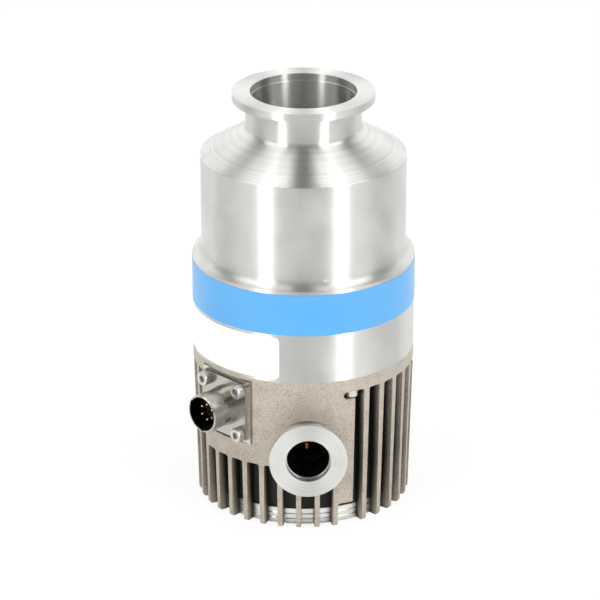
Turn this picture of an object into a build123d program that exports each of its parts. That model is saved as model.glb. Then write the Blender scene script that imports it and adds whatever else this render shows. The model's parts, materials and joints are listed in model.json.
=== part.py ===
from build123d import *
import math
import os

# A small turbomolecular pump. The origin is the centre of its base face, +Z runs up the
# rotor's axis to the inlet, and the exhaust port points along -Y. All sizes are in mm.
# An azimuth is the angle about the axis in degrees, from the exhaust side towards +X.

# Cast base with its cooling fins
base_height = 62.4
rim_height = 5.2
fin_depth = 5.8
fin_draft = 1.5
fin_foot_round = 1.2
fin_thickness = 1.8
slot_draft = 0.35
slot_corner = 0.9
fin_pitch = 10.0
front_fin_first = -64.6
front_fin_count = 9
rear_fin_first = 32.4
rear_fin_count = 26
base_wall = 4.5
bulkhead_thickness = 6.0
recess_depth = 6.4
spigot_height = 6.6
spigot_wall = 5.4
gas_hole_radius = 2.0
gas_hole_count = 12

cut_over = 3.0
pocket_step = 0.3
tap_runout = 1.0

# Smooth pad on the front of the base, where connector and exhaust port sit
pad_start = -67.0
pad_end = 18.5
pad_foot = 35.5
short_slot_top = 26.0
web_end = 25.0
web_foot = 9.5

# Turned casing above the base
body_radius = 39.8
casing_wall = 2.8
rim_step = 3.5
casing_bottom_height = 37.6
neck_wall = 2.15
cone_height = 10.3
neck_height = 14.5
shoulder_wall = 4.7
cone_edge_round = 0.4
neck_fillet = 2.0
inlet_flange_radius = 27.5
inlet_rim = 3.0
inlet_recess_step = 0.35
inlet_bore_radius = 20.25
centring_depth = 3.0
stack_lip = 1.0
flange_taper = 15.0

# Turbine and drag stages
bell_gap = 0.8
bell_wall = 3.7
hub_top_radius = 13.0
hub_wide_rows = 3
tip_gap = 0.6
blade_count = 20
turbine_stages = 5
blade_height = 5.2
blade_thickness = 1.1
blade_angle = 38.0
stator_height = 2.1
stator_blade_thickness = 0.8
stage_gap = 0.6
disc_play = 0.2
drag_stages = 2
drag_disc = 2.0
drag_disc_gap = 1.6
drag_plate = 2.0
vane_height = 3.6
vane_gap = 0.4
vane_count = 8
vane_thickness = 1.4
vane_sweep = 55.0
spacer_wall = 2.35
stack_clearance = 0.05
top_spacer_rise = 1.2
split_gap = 0.1
hub_skirt = 3.5
bell_roof = 3.0
rotor_bevel = 2.0
root_sink = 0.5
blade_excess = 2.0
stator_rim = 1.2
vane_root_gap = 2.2
vane_tip_gap = 0.8
vane_bend = 0.4

# Shaft, ball bearings and motor
shaft_radius = 4.0
shaft_waist_radius = 5.2
shaft_thread_radius = 3.0
shaft_end_drop = 3.2
shaft_chamfer = 0.4
shaft_gap = 1.0
thread_relief = 1.0
thread_proud = 0.7
thread_chamfer = 0.5
bearing_outer_radius = 11.0
bearing_width = 7.0
race_thickness = 1.9
ball_radius = 1.95
ball_clearance = 0.1
ball_count = 7
cage_wall = 0.75
cage_edge = 0.75
carrier_lip = 1.2
upper_bearing_rise = 11.0
upper_retainer = 2.0
retainer_lap = 1.0
race_lip = 0.4
damper_radius = 0.5
spring_thickness = 0.5
spring_height = 1.4
spring_bore_gap = 2.0
spring_rim_gap = 0.2
magnet_wall = 3.2
magnet_overhang = 1.0
motor_gap = 0.6
core_radius = 17.0
core_back = 3.4
core_length = 17.0
core_teeth = 6
tooth_width = 3.0
tooth_overlap = 0.5
coil_lift = 0.8
coil_slot_excess = 4.0
winding_overhang = 3.6
winding_clearance = 0.2
winding_space = 2.4
cartridge_wall = 2.0
cartridge_neck_wall = 1.48
cartridge_flange_width = 7.0
cartridge_flange = 3.0
carrier_flange = 3.0
carrier_spigot = 9.0
carrier_rise = 0.6

# Bottom cover
cover_overlap = 0.5
cover_thickness = 6.4
cover_spigot = 3.0
cover_gap = 0.3
cover_pocket_radius = 14.0
cover_floor = 3.4
cover_groove = 0.6
seal_land = 0.5
base_bolt_circle = 50.0
base_bolt_count = 4
base_bolt_start = 45.0
base_thread_radius = 2.5
base_thread_depth = 6.0

# Exhaust port
port_height = 34.5
port_length = 11.6
port_seat_depth = 0.9
port_depth = 5.4
port_flange_radius = 15.0
port_rim = 2.0
port_neck_radius = 10.0
port_collar_radius = 11.8
port_collar = 1.2
port_spigot_radius = 11.0
port_bore_radius = 8.0
port_recess_step = 0.6
port_passage_step = 0.5
nozzle_radius = 1.2
nozzle_length = 5.0
nozzle_sink = 1.0
nozzle_drop = 1.6
nozzle_bore_depth = 3.0

# Six-pin connector
connector_azimuth = -47.0
connector_drop = 14.8
connector_depth = 2.3
connector_recess = 27.0
connector_bay = 4.0
gasket_size = 26.0
gasket_thickness = 1.0
flange_size = 23.9
flange_thickness = 1.7
flange_pitch = 18.26
flange_corner = 1.5
shell_radius = 7.5
shell_wall = 0.9
shell_length = 11.6
shell_tail = 7.0
tail_step = 0.1
edge_chamfer = 0.25
keyway_width = 1.6
keyway_depth = 1.0
keyway_count = 3
keyway_start = 30.0
collar_step = 0.35
collar_length = 2.4
stud_radius = 0.9
stud_length = 1.0
stud_sink = 0.4
stud_setback = 4.6
stud_count = 3
stud_start = 15.0
insert_depth = 8.0
pin_radius = 0.75
pin_circle = 3.2
pin_recess = 3.2
pin_tail = 2.0
pin_count = 6

# Fasteners and seals
screw_radius = 1.5
screw_head_radius = 2.75
screw_head_height = 3.0
screw_socket = 2.5
socket_depth = 1.6
screw_play = 0.2
head_chamfer = 0.3
clamp_screw_inset = 3.1
clamp_screw_start = 25.0
clamp_screw_pitch = 60.0
clamp_screw_count = 5
clamp_screw_grip = 8.0
clamp_pocket_length = 9.0
cover_screw_inset = 2.1
cover_screw_count = 6
cover_screw_start = 15.0
cover_screw_grip = 6.0
cartridge_screw_circle = 45.0
cartridge_screw_count = 4
cartridge_screw_start = 45.0
cartridge_screw_grip = 4.5
connector_screw_grip = 5.0
connector_screw_end = 0.5
seal_radius = 0.9
groove_side = 0.1
fit_clearance = 0.02
nut_across_flats = 10.0
nut_height = 5.0
washer_radius = 7.0
washer_thickness = 1.2
nut_crown = 0.6
crown_excess = 0.2
lower_nut_radius = 6.0
lower_nut_chamfer = 0.5
lower_nut_setback = 0.6
spanner_slots = 4
spanner_slot = 1.6

# Radii, each worked out from the sizes above
rim_radius = body_radius + rim_step
fin_foot_radius = rim_radius - fin_draft
fin_root_radius = rim_radius - fin_depth
cavity_radius = fin_root_radius - base_wall
casing_bore = body_radius - casing_wall
neck_radius = inlet_bore_radius + neck_wall
inlet_recess_radius = inlet_bore_radius + inlet_recess_step
spigot_radius = casing_bore - stack_clearance
spacer_radius = spigot_radius - spacer_wall
tip_radius = spacer_radius - tip_gap
drag_disc_radius = spacer_radius - drag_disc_gap
cartridge_seat = bearing_outer_radius + fit_clearance
cartridge_neck_radius = cartridge_seat + cartridge_neck_wall
cartridge_radius = core_radius + cartridge_wall
cartridge_flange_radius = cartridge_radius + cartridge_flange_width
hub_cavity_radius = cartridge_neck_radius + bell_gap
hub_radius = hub_cavity_radius + bell_wall
magnet_radius = shaft_waist_radius + magnet_wall
cover_radius = fin_root_radius + cover_overlap
clamp_screw_circle = 2 * (rim_radius - clamp_screw_inset)
cover_screw_circle = 2 * (fin_root_radius - cover_screw_inset)
port_seat = rim_radius - port_seat_depth
port_recess_radius = port_bore_radius + port_recess_step
port_passage_radius = port_bore_radius - port_passage_step
connector_flat = rim_radius - connector_depth

# Heights along the axis, each worked out from the sizes above
cover_top = cover_thickness + cover_spigot
carrier_z = cover_top + carrier_rise
lower_bearing_z = carrier_z + carrier_lip
shaft_end_height = lower_bearing_z - shaft_end_drop
carrier_top = carrier_z + carrier_flange + carrier_spigot
core_z = carrier_top + winding_overhang + winding_space
core_top = core_z + core_length
bulkhead_top = base_height - recess_depth
bulkhead_bottom = bulkhead_top - bulkhead_thickness
slot_top = base_height - rim_height
stack_seat = base_height + spigot_height
drag_pitch = drag_plate + drag_disc + 2 * (vane_height + vane_gap)
stage_pitch = blade_height + stator_height + 2 * stage_gap
first_blade = stack_seat + drag_stages * drag_pitch + drag_plate + stage_gap
rotor_top = first_blade + (turbine_stages - 1) * stage_pitch + blade_height
stack_top = rotor_top + top_spacer_rise
shoulder_z = stack_top + shoulder_wall
neck_foot = shoulder_z + cone_height
pump_height = neck_foot + neck_height
hub_bottom = stack_seat - hub_skirt
upper_bearing_z = stack_seat + upper_bearing_rise
connector_height = base_height - connector_drop
disc_gap = stage_gap + disc_play
bearing_pitch = (shaft_radius + bearing_outer_radius) / 2
taper = math.tan(math.radians(flange_taper))


def half_section(*points):
    """Closed face through (radius, height) points, ready to be turned about the axis."""
    with BuildSketch(Plane.XZ) as face:
        with BuildLine():
            Polyline(*points, close=True)
        make_face()
    return face.sketch


def ring_section(inner, outer, low, high):
    """Rectangular half section of a plain ring."""
    return half_section((inner, low), (outer, low), (outer, high), (inner, high))


def seal_section(radius, height, thickness=seal_radius):
    """Round half section of an O-ring."""
    with BuildSketch(Plane.XZ) as face:
        with Locations((radius, height)):
            Circle(thickness)
    return face.sketch


def radial_plane(azimuth, reach, height):
    """Plane that faces outwards, at a distance from the axis, with local y upwards."""
    angle = math.radians(azimuth)
    outward = Vector(math.sin(angle), -math.cos(angle), 0)
    tangent = Vector(math.cos(angle), math.sin(angle), 0)
    return Plane(origin=outward * reach + Vector(0, 0, height), x_dir=tangent, z_dir=outward)


def on_circle(diameter, azimuth, height):
    """Place on a bolt circle, at an azimuth and a height."""
    angle = math.radians(azimuth)
    return Location((diameter / 2 * math.sin(angle), -diameter / 2 * math.cos(angle), height))


def sector(inner, outer, start, end, height):
    """Part of a flat ring between two azimuths, drawn at a height."""
    with BuildSketch(Plane.XY.offset(height)) as face:
        with BuildLine():
            far = CenterArc((0, 0), outer, start - 90, end - start)
            near = CenterArc((0, 0), inner, start - 90, end - start)
            Line(far @ 0, near @ 0)
            Line(far @ 1, near @ 1)
        make_face()
    return face.sketch


def cap_screw(grip):
    """Socket head screw along +Z: its head lies below the origin and its thread above."""
    with BuildPart() as screw:
        Cylinder(screw_head_radius, screw_head_height, align=(Align.CENTER, Align.CENTER, Align.MAX))
        chamfer(screw.edges().sort_by(Axis.Z)[0], head_chamfer)
        with BuildSketch(Plane.XY.offset(-screw_head_height)):
            RegularPolygon(screw_socket / math.sqrt(3), 6)
        extrude(amount=socket_depth, mode=Mode.SUBTRACT)
        Cylinder(screw_radius - fit_clearance, grip, align=(Align.CENTER, Align.CENTER, Align.MIN))
    return screw.part


def fin_gap(first, second, top):
    """Cutter for the gap between fins at two azimuths, open below and outside."""
    sides = []
    for azimuth, side in ((first, 1), (second, -1)):
        angle = math.radians(azimuth)
        shift = side * fin_thickness / 2
        for reach in (fin_root_radius, rim_radius + cut_over):
            sides.append((reach * math.sin(angle) + shift * math.cos(angle),
                          -reach * math.cos(angle) + shift * math.sin(angle)))
    near_first, far_first, near_second, far_second = sides
    with BuildPart() as gap:
        with BuildSketch():
            with BuildLine():
                Polyline(near_first, far_first, far_second, near_second, close=True)
            make_face()
        extrude(amount=top, taper=slot_draft)
        ceiling = gap.faces().sort_by(Axis.Z)[-1]
        from_axis = ceiling.edges().sort_by(lambda edge: edge.center().X ** 2 + edge.center().Y ** 2)
        fillet(from_axis[1:-1], slot_corner)
    return gap.part


def blade_row(low, height, inner, outer, thickness, angle):
    """Flat blades at an angle to the rotor's plane, trimmed to one row."""
    with BuildPart() as row:
        with Locations((0, 0, low + height / 2)):
            with PolarLocations((inner + outer) / 2, blade_count):
                Box(outer - inner + blade_excess, thickness, 2.5 * height / abs(math.sin(math.radians(angle))),
                    rotation=(90 - angle if angle > 0 else -90 - angle, 0, 0))
        revolve(ring_section(inner, outer, low, low + height), mode=Mode.INTERSECT)
    return row.part


def drag_vanes(low):
    """Curved vanes that stand on a drag plate and lead the gas inwards."""
    inner = hub_radius + vane_root_gap
    outer = spacer_radius - vane_tip_gap
    with BuildSketch(Plane.XY.offset(low)) as face:
        middle = (inner + outer) / 2
        places = [(inner, 0), (middle, vane_bend * vane_sweep), (outer, vane_sweep)]
        points = [(r * math.cos(math.radians(a)), r * math.sin(math.radians(a))) for r, a in places]
        with BuildLine(mode=Mode.PRIVATE) as centre:
            ThreePointArc(*points)
        with PolarLocations(0, vane_count):
            SlotArc(centre.edge(), vane_thickness)
    return face.sketch


def save(piece, name):
    """Label a finished piece and write it to its own STEP file."""
    piece.label = name
    export_step(piece, f"parts/{name}.step")


os.makedirs("parts", exist_ok=True)


# ---- Cast base: one casting with radial fins, pad, bulkhead and spigot ----

clamp_azimuths = [clamp_screw_start + clamp_screw_pitch * index for index in range(clamp_screw_count)]
pocket_height = screw_head_height + screw_play
port_plane = radial_plane(0, port_seat, port_height)
connector_plane = radial_plane(connector_azimuth, connector_flat, connector_height)


front_fins = [front_fin_first + fin_pitch * index for index in range(front_fin_count)]
rear_span = 360 + front_fin_first - fin_pitch - rear_fin_first
rear_fins = [rear_fin_first + rear_span * index / (rear_fin_count - 1) for index in range(rear_fin_count)]
web_fin = web_end - math.degrees(fin_thickness / 2 / rim_radius)
tall_fins = [web_fin, *rear_fins, front_fin_first + 360]

with BuildPart() as base_housing:
    with BuildSketch(Plane.XZ) as base_outline:
        with BuildLine():
            Polyline(
                (fin_foot_radius, 0), (rim_radius, slot_top), (rim_radius, base_height),
                (spigot_radius, base_height), (spigot_radius, stack_seat),
                (spigot_radius - spigot_wall, stack_seat), (spigot_radius - spigot_wall, bulkhead_top),
                (cartridge_radius + fit_clearance, bulkhead_top),
                (cartridge_radius + fit_clearance, bulkhead_bottom),
                (cavity_radius, bulkhead_bottom), (cavity_radius, cover_thickness),
                (cover_radius + cover_gap, cover_thickness), (cover_radius + cover_gap, 0),
                close=True,
            )
        make_face()
        foot = base_outline.vertices().group_by(Axis.Y)[0].sort_by(Axis.X)[-1]
        fillet(foot, fin_foot_round)
    revolve(axis=Axis.Z)
    extrude(sector(fin_root_radius, rim_radius, pad_start, pad_end, pad_foot), amount=slot_top - pad_foot)
    for first, second in zip(front_fins, front_fins[1:]):
        add(fin_gap(first, second, short_slot_top), mode=Mode.SUBTRACT)
    for first, second in zip(tall_fins, tall_fins[1:]):
        add(fin_gap(first, second, slot_top), mode=Mode.SUBTRACT)
    add(fin_gap(front_fins[-1], rear_fins[0], web_foot), mode=Mode.SUBTRACT)
    # Pockets for the heads of the screws that hold the casing, and their holes
    for azimuth in clamp_azimuths:
        head_plane = radial_plane(azimuth, fin_root_radius - pocket_step, slot_top - pocket_height / 2)
        with BuildSketch(head_plane):
            SlotOverall(clamp_pocket_length, pocket_height)
        extrude(amount=rim_radius, mode=Mode.SUBTRACT)
    with BuildSketch(Plane.XY.offset(slot_top - pocket_height)):
        with Locations(*[on_circle(clamp_screw_circle, azimuth, 0) for azimuth in clamp_azimuths]):
            Circle(screw_radius + screw_play)
    extrude(amount=base_height, mode=Mode.SUBTRACT)
    # Groove for the casing's seal, round the spigot
    seal_z = base_height + spigot_height / 2
    groove_bottom = spigot_radius - 2 * seal_radius
    revolve(ring_section(groove_bottom, casing_bore, seal_z - seal_radius - groove_side,
                         seal_z + seal_radius + groove_side), mode=Mode.SUBTRACT)
    # Gas holes and the cartridge's screw holes through the bulkhead
    gas_circle = cartridge_flange_radius + spigot_radius - spigot_wall
    with BuildSketch(Plane.XY.offset(bulkhead_bottom)):
        with PolarLocations(gas_circle / 2, gas_hole_count):
            Circle(gas_hole_radius)
        with PolarLocations(cartridge_screw_circle / 2, cartridge_screw_count, cartridge_screw_start):
            Circle(screw_radius)
    extrude(amount=bulkhead_thickness, mode=Mode.SUBTRACT)
    # Tapped holes for the bottom cover
    with BuildSketch(Plane.XY.offset(cover_thickness)):
        with PolarLocations(cover_screw_circle / 2, cover_screw_count, cover_screw_start):
            Circle(screw_radius)
    extrude(amount=cover_screw_grip + tap_runout, mode=Mode.SUBTRACT)
    # Seat, stepped hole and passage for the exhaust port
    with BuildSketch(port_plane):
        Circle(port_collar_radius + screw_play)
    extrude(amount=rim_radius, mode=Mode.SUBTRACT)
    with BuildSketch(port_plane):
        Circle(port_spigot_radius + fit_clearance)
    extrude(amount=-port_depth, mode=Mode.SUBTRACT)
    with BuildSketch(port_plane):
        Circle(port_passage_radius)
    extrude(amount=cavity_radius - port_seat - cut_over, mode=Mode.SUBTRACT)
    # Small hole for the purge nozzle, above the passage
    passage_end = port_seat - port_depth
    nozzle_reach = (passage_end + cavity_radius) / 2
    nozzle_root = port_height + port_passage_radius - nozzle_sink
    with Locations((0, -nozzle_reach, nozzle_root)):
        Cylinder(nozzle_radius, nozzle_length, align=(Align.CENTER, Align.CENTER, Align.MIN), mode=Mode.SUBTRACT)
    # Flat, hole and tapped holes for the connector
    with BuildSketch(connector_plane):
        Rectangle(connector_recess, connector_recess)
    extrude(amount=rim_radius, mode=Mode.SUBTRACT)
    with BuildSketch(connector_plane):
        Circle(shell_radius + screw_play)
    extrude(amount=cavity_radius - connector_flat - connector_bay, mode=Mode.SUBTRACT)
    with BuildSketch(connector_plane):
        with GridLocations(flange_pitch, flange_pitch, 2, 2):
            Circle(screw_radius)
    extrude(amount=-connector_screw_grip, mode=Mode.SUBTRACT)
save(base_housing.part, "base_housing")


# ---- Bottom cover, its seal and screws ----

cover_spigot_radius = cavity_radius - stack_clearance
cover_seal_z = cover_top - seal_radius - groove_side - seal_land

with BuildPart() as bottom_cover:
    revolve(half_section(
        (0, 0), (cover_radius, 0), (cover_radius, cover_thickness), (cover_spigot_radius, cover_thickness),
        (cover_spigot_radius, cover_top), (cover_pocket_radius, cover_top),
        (cover_pocket_radius, cover_floor), (0, cover_floor)))
    for height in (cover_thickness / 3, cover_thickness * 2 / 3):
        revolve(ring_section(cover_radius - cover_groove, cover_radius + 1,
                             height - cover_groove / 2, height + cover_groove / 2), mode=Mode.SUBTRACT)
    revolve(ring_section(cover_spigot_radius - 2 * seal_radius, cavity_radius,
                         cover_seal_z - seal_radius - groove_side,
                         cover_seal_z + seal_radius + groove_side), mode=Mode.SUBTRACT)
    with BuildSketch():
        with PolarLocations(cover_screw_circle / 2, cover_screw_count, cover_screw_start):
            Circle(screw_head_radius + screw_play)
    extrude(amount=screw_head_height + screw_play, mode=Mode.SUBTRACT)
    with BuildSketch():
        with PolarLocations(cover_screw_circle / 2, cover_screw_count, cover_screw_start):
            Circle(screw_radius + screw_play)
    extrude(amount=cover_thickness, mode=Mode.SUBTRACT)
    with BuildSketch():
        with PolarLocations(base_bolt_circle / 2, base_bolt_count, base_bolt_start):
            Circle(base_thread_radius)
    extrude(amount=base_thread_depth, mode=Mode.SUBTRACT)
save(bottom_cover.part, "bottom_cover")

with BuildPart() as cover_screws:
    with Locations((0, 0, screw_head_height + screw_play)):
        with PolarLocations(cover_screw_circle / 2, cover_screw_count, cover_screw_start):
            add(cap_screw(cover_thickness - screw_head_height - screw_play + cover_screw_grip))
save(cover_screws.part, "cover_screws")

with BuildPart() as cover_seal:
    revolve(seal_section(cover_spigot_radius - seal_radius, cover_seal_z))
save(cover_seal.part, "cover_seal")


# ---- Turned casing with the inlet flange ----

inner_slope = cone_height / (body_radius - neck_radius)
inner_cone_foot = stack_top + stack_lip
inner_cone_top = inner_cone_foot + (spacer_radius - inlet_bore_radius) * inner_slope
ring_top = base_height + casing_bottom_height
rim_bottom = pump_height - inlet_rim

with BuildPart() as casing:
    with BuildSketch(Plane.XZ) as casing_outline:
        with BuildLine():
            Polyline((casing_bore, base_height), (rim_radius, base_height), (rim_radius, ring_top))
            RadiusArc((rim_radius, ring_top), (body_radius, ring_top + rim_step), rim_step)
            Polyline(
                (body_radius, ring_top + rim_step), (body_radius, shoulder_z), (neck_radius, neck_foot),
                (neck_radius, rim_bottom - (inlet_flange_radius - neck_radius) * taper),
                (inlet_flange_radius, rim_bottom), (inlet_flange_radius, pump_height),
                (inlet_recess_radius, pump_height), (inlet_recess_radius, pump_height - centring_depth),
                (inlet_bore_radius, pump_height - centring_depth), (inlet_bore_radius, inner_cone_top),
                (spacer_radius, inner_cone_foot), (spacer_radius, stack_top), (casing_bore, stack_top),
                (casing_bore, base_height))
        make_face()
        neck_corner = casing_outline.vertices().sort_by_distance((neck_radius, neck_foot))[0]
        fillet(neck_corner, neck_fillet)
        shoulder = casing_outline.vertices().sort_by_distance((body_radius, shoulder_z))[0]
        fillet(shoulder, cone_edge_round)
    revolve(axis=Axis.Z)
    with BuildSketch(Plane.XY.offset(base_height)):
        with Locations(*[on_circle(clamp_screw_circle, azimuth, 0) for azimuth in clamp_azimuths]):
            Circle(screw_radius)
    extrude(amount=clamp_screw_grip + tap_runout, mode=Mode.SUBTRACT)
save(casing.part, "casing")

with BuildPart() as casing_seal:
    revolve(seal_section(spigot_radius - seal_radius, seal_z))
save(casing_seal.part, "casing_seal")

with BuildPart() as casing_screws:
    with Locations(*[on_circle(clamp_screw_circle, azimuth, slot_top) for azimuth in clamp_azimuths]):
        add(cap_screw(rim_height + clamp_screw_grip))
save(casing_screws.part, "casing_screws")


# ---- Rotor: one piece with bladed rows above, flat drag discs and a bell below ----

bell_top = upper_bearing_z + bearing_width + upper_retainer + bell_roof
row_levels = [first_blade + index * stage_pitch for index in range(turbine_stages)]
row_hubs = [hub_radius if index < hub_wide_rows else hub_top_radius for index in range(turbine_stages)]
step_low = row_levels[hub_wide_rows - 1] + blade_height
step_high = row_levels[hub_wide_rows]

with BuildPart() as rotor:
    revolve(half_section(
        (hub_cavity_radius, hub_bottom), (hub_radius, hub_bottom), (hub_radius, step_low),
        (hub_top_radius, step_high), (hub_top_radius, rotor_top - rotor_bevel),
        (hub_top_radius - rotor_bevel, rotor_top),
        (shaft_radius, rotor_top), (shaft_radius, bell_top),
        (hub_cavity_radius - rotor_bevel, bell_top), (hub_cavity_radius, bell_top - rotor_bevel)))
    for index in range(drag_stages):
        disc_z = stack_seat + index * drag_pitch + drag_plate + vane_height + vane_gap
        revolve(ring_section(hub_radius - root_sink, drag_disc_radius, disc_z, disc_z + drag_disc))
    for level, row_hub in zip(row_levels, row_hubs):
        add(blade_row(level, blade_height, row_hub - root_sink, tip_radius, blade_thickness, blade_angle))
save(rotor.part, "rotor")


# ---- Stack of stator discs and spacer rings, each disc in two halves ----

disc_bore = hub_radius + disc_gap


def split_disc(low, height):
    """Cutter that parts a disc into two halves between its blades."""
    with BuildPart() as cutter:
        with Locations((0, 0, low + height / 2)):
            Box(3 * casing_bore, split_gap, 3 * height, rotation=(0, 0, 180 / blade_count))
    return cutter.part


plate_levels = [stack_seat + index * drag_pitch for index in range(drag_stages + 1)]
for index, level in enumerate(plate_levels):
    with BuildPart() as drag_stator:
        revolve(ring_section(disc_bore, spigot_radius, level, level + drag_plate))
        if index < drag_stages:
            extrude(drag_vanes(level + drag_plate), amount=vane_height)
        if index > 0:
            extrude(drag_vanes(level - vane_height), amount=vane_height)
        add(split_disc(level, drag_pitch), mode=Mode.SUBTRACT)
    save(drag_stator.part, f"drag_stator_{index + 1}")

stator_levels = [level + blade_height + stage_gap for level in row_levels[:-1]]
for index, level in enumerate(stator_levels):
    bore = row_hubs[index] + disc_gap
    with BuildPart() as blade_stator:
        revolve(ring_section(spacer_radius, spigot_radius, level, level + stator_height))
        revolve(ring_section(bore, bore + stator_rim, level, level + stator_height))
        add(blade_row(level, stator_height, bore + stator_rim / 2, spacer_radius + root_sink,
                      stator_blade_thickness, -blade_angle))
        add(split_disc(level, stator_height), mode=Mode.SUBTRACT)
    save(blade_stator.part, f"blade_stator_{index + 1}")

lower_faces = [level + drag_plate for level in plate_levels] + [z + stator_height for z in stator_levels]
upper_faces = plate_levels[1:] + stator_levels + [stack_top]
for index, (low, high) in enumerate(zip(lower_faces, upper_faces)):
    with BuildPart() as spacer:
        revolve(ring_section(spacer_radius, spigot_radius, low, high))
    save(spacer.part, f"spacer_ring_{index + 1}")


# ---- Shaft, and what clamps the rotor on it ----

nut_z = rotor_top + washer_thickness
thread_end = nut_z + nut_height + thread_proud

with BuildPart() as shaft:
    revolve(half_section(
        (0, shaft_end_height), (shaft_radius - shaft_chamfer, shaft_end_height),
        (shaft_radius, shaft_end_height + shaft_chamfer),
        (shaft_radius, lower_bearing_z + bearing_width), (shaft_waist_radius, lower_bearing_z + bearing_width),
        (shaft_waist_radius, upper_bearing_z), (shaft_radius, upper_bearing_z),
        (shaft_radius, rotor_top - thread_relief), (shaft_thread_radius, rotor_top - thread_relief),
        (shaft_thread_radius, thread_end - thread_chamfer), (shaft_thread_radius - thread_chamfer, thread_end),
        (0, thread_end)))
save(shaft.part, "shaft")

with BuildPart() as rotor_washer:
    revolve(ring_section(shaft_thread_radius + fit_clearance, washer_radius, rotor_top, nut_z))
save(rotor_washer.part, "rotor_washer")

with BuildPart() as rotor_nut:
    with BuildSketch(Plane.XY.offset(nut_z)):
        RegularPolygon(nut_across_flats / math.sqrt(3), 6)
        Circle(shaft_thread_radius + fit_clearance, mode=Mode.SUBTRACT)
    extrude(amount=nut_height)
    corner = nut_across_flats / math.sqrt(3)
    crown = half_section((nut_across_flats / 2, nut_z + nut_height), (corner + crown_excess, nut_z + nut_height),
                         (corner + crown_excess, nut_z + nut_height - nut_crown))
    revolve(crown, mode=Mode.SUBTRACT)
save(rotor_nut.part, "rotor_nut")

lower_nut_bottom = shaft_end_height + lower_nut_setback
with BuildPart() as bearing_nut:
    revolve(half_section(
        (shaft_radius + fit_clearance, lower_nut_bottom), (lower_nut_radius - lower_nut_chamfer, lower_nut_bottom),
        (lower_nut_radius, lower_nut_bottom + lower_nut_chamfer), (lower_nut_radius, lower_bearing_z),
        (shaft_radius + fit_clearance, lower_bearing_z)))
    with BuildSketch(Plane.XY.offset(lower_nut_bottom)):
        with PolarLocations(lower_nut_radius, spanner_slots):
            Rectangle(spanner_slot, spanner_slot)
    extrude(amount=lower_bearing_z, mode=Mode.SUBTRACT)
save(bearing_nut.part, "bearing_nut")


# ---- Two ball bearings ----

groove_radius = ball_radius + ball_clearance
inner_race_radius = shaft_radius + race_thickness
outer_race_bore = bearing_outer_radius - race_thickness


def ball_groove(middle, radius=groove_radius):
    """Half section of the track that the balls run in."""
    return seal_section(bearing_pitch, middle, radius)


for name, low in (("lower", lower_bearing_z), ("upper", upper_bearing_z)):
    middle = low + bearing_width / 2
    high = low + bearing_width
    with BuildPart() as inner_race:
        revolve(ring_section(shaft_radius, inner_race_radius, low, high))
        revolve(ball_groove(middle), mode=Mode.SUBTRACT)
    save(inner_race.part, f"{name}_bearing_inner_race")
    with BuildPart() as outer_race:
        revolve(ring_section(outer_race_bore, bearing_outer_radius, low, high))
        revolve(ball_groove(middle), mode=Mode.SUBTRACT)
    save(outer_race.part, f"{name}_bearing_outer_race")
    with BuildPart() as balls:
        with Locations((0, 0, middle)):
            with PolarLocations(bearing_pitch, ball_count):
                Sphere(ball_radius)
    save(balls.part, f"{name}_bearing_balls")
    with BuildPart() as cage:
        reach = ball_radius + cage_edge
        revolve(ring_section(bearing_pitch - cage_wall, bearing_pitch + cage_wall, middle - reach, middle + reach))
        with Locations((0, 0, middle)):
            with PolarLocations(bearing_pitch, ball_count):
                Cylinder(groove_radius, 4 * cage_wall, rotation=(0, 90, 0), mode=Mode.SUBTRACT)
    save(cage.part, f"{name}_bearing_cage")


# ---- Bearing cartridge, carrier, spring, retainer and dampers ----

cartridge_bottom = carrier_z + carrier_flange
retainer_bottom = upper_bearing_z + bearing_width
retainer_top = retainer_bottom + upper_retainer

with BuildPart() as cartridge:
    revolve(half_section(
        (core_radius + fit_clearance, cartridge_bottom), (cartridge_radius, cartridge_bottom),
        (cartridge_radius, bulkhead_top), (cartridge_flange_radius, bulkhead_top),
        (cartridge_flange_radius, bulkhead_top + cartridge_flange),
        (cartridge_neck_radius, bulkhead_top + cartridge_flange), (cartridge_neck_radius, retainer_bottom),
        (cartridge_seat, retainer_bottom), (cartridge_seat, upper_bearing_z - spring_height),
        (shaft_waist_radius + shaft_gap, upper_bearing_z - spring_height),
        (shaft_waist_radius + shaft_gap, bulkhead_bottom), (core_radius + fit_clearance, bulkhead_bottom)))
    with BuildSketch(Plane.XY.offset(bulkhead_top)):
        with PolarLocations(cartridge_screw_circle / 2, cartridge_screw_count, cartridge_screw_start):
            Circle(screw_radius + screw_play)
    extrude(amount=cartridge_flange, mode=Mode.SUBTRACT)
save(cartridge.part, "bearing_cartridge")

with BuildPart() as cartridge_screws:
    pitch = 360 / cartridge_screw_count
    with Locations(*[on_circle(cartridge_screw_circle, cartridge_screw_start + pitch * index,
                               bulkhead_top + cartridge_flange) for index in range(cartridge_screw_count)]):
        add(cap_screw(cartridge_flange + cartridge_screw_grip).rotate(Axis.X, 180))
save(cartridge_screws.part, "cartridge_screws")

damper_bore = bearing_outer_radius + 2 * damper_radius
with BuildPart() as carrier:
    revolve(half_section(
        (outer_race_bore + race_lip, carrier_z), (cartridge_radius, carrier_z), (cartridge_radius, cartridge_bottom),
        (core_radius, cartridge_bottom), (core_radius, carrier_top), (damper_bore, carrier_top),
        (damper_bore, lower_bearing_z), (outer_race_bore + race_lip, lower_bearing_z)))
save(carrier.part, "lower_bearing_carrier")

with BuildPart() as dampers:
    for height in (lower_bearing_z + bearing_width / 4, lower_bearing_z + bearing_width * 3 / 4):
        revolve(seal_section(bearing_outer_radius + damper_radius, height, damper_radius - fit_clearance))
save(dampers.part, "bearing_dampers")

with BuildPart() as retainer:
    revolve(ring_section(outer_race_bore - retainer_lap, cartridge_neck_radius, retainer_bottom, retainer_top))
save(retainer.part, "upper_bearing_retainer")

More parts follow.
